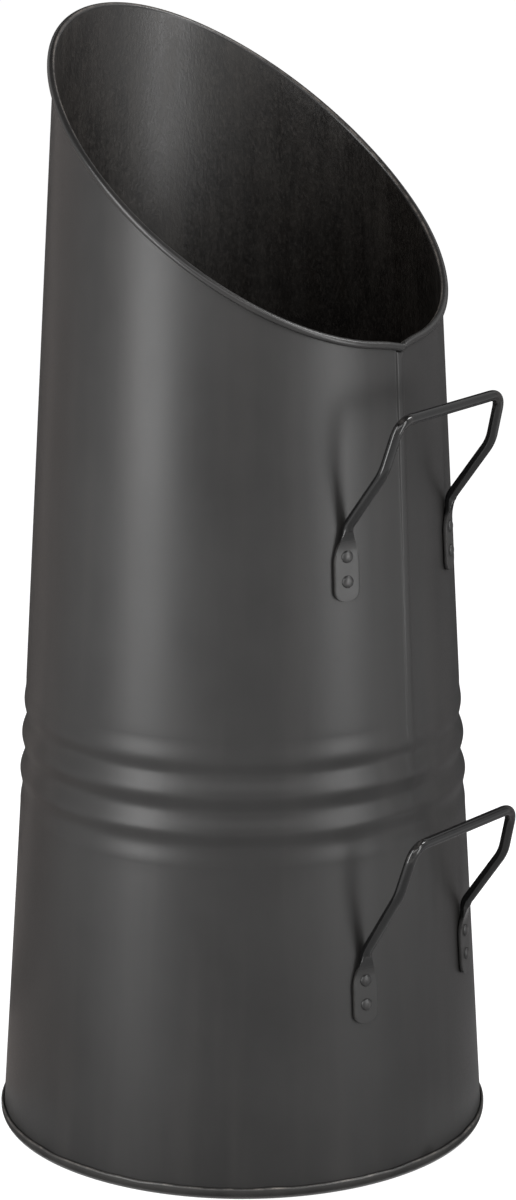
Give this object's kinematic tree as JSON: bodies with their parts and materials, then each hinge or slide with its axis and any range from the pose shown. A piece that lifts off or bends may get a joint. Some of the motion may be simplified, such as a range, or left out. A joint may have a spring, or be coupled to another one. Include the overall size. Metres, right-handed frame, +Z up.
{
  "type": "coal scuttle",
  "caption": "Tall tapered sheet-steel coal scuttle with a slanted wired lip, swaged ribs and riveted rod handles one above the other on its low side.",
  "frame": {"origin": "on the surface the scuttle stands on, midway between the front of the handles and the back of the foot", "axes": "+Z up, -Y towards the side with the seam, the handles and the low part of the lip, +X to the right of someone facing the handles"},
  "size_m": [0.2326, 0.249, 0.5239],
  "materials": {
    "black_coat": "satin black coat, faintly brown where it is worn",
    "base_coat": "satin black coat, rubbed at the foot",
    "handle_coat": "semi-gloss black coat, brighter on the bends",
    "rivet_steel": "blackened, satin",
    "hoop_wire": "plain drawn wire"
  },
  "bodies": {
    "root": {"body_shell": "black_coat", "rim_wire": "hoop_wire", "base_pan": "base_coat", "upper_handle": "handle_coat", "lower_handle": "handle_coat", "rivet_upper_left_top": "rivet_steel", "rivet_upper_left_bottom": "rivet_steel", "rivet_upper_right_top": "rivet_steel", "rivet_upper_right_bottom": "rivet_steel", "rivet_lower_left_top": "rivet_steel", "rivet_lower_left_bottom": "rivet_steel", "rivet_lower_right_top": "rivet_steel", "rivet_lower_right_bottom": "rivet_steel"}
  },
  "joints": []
}
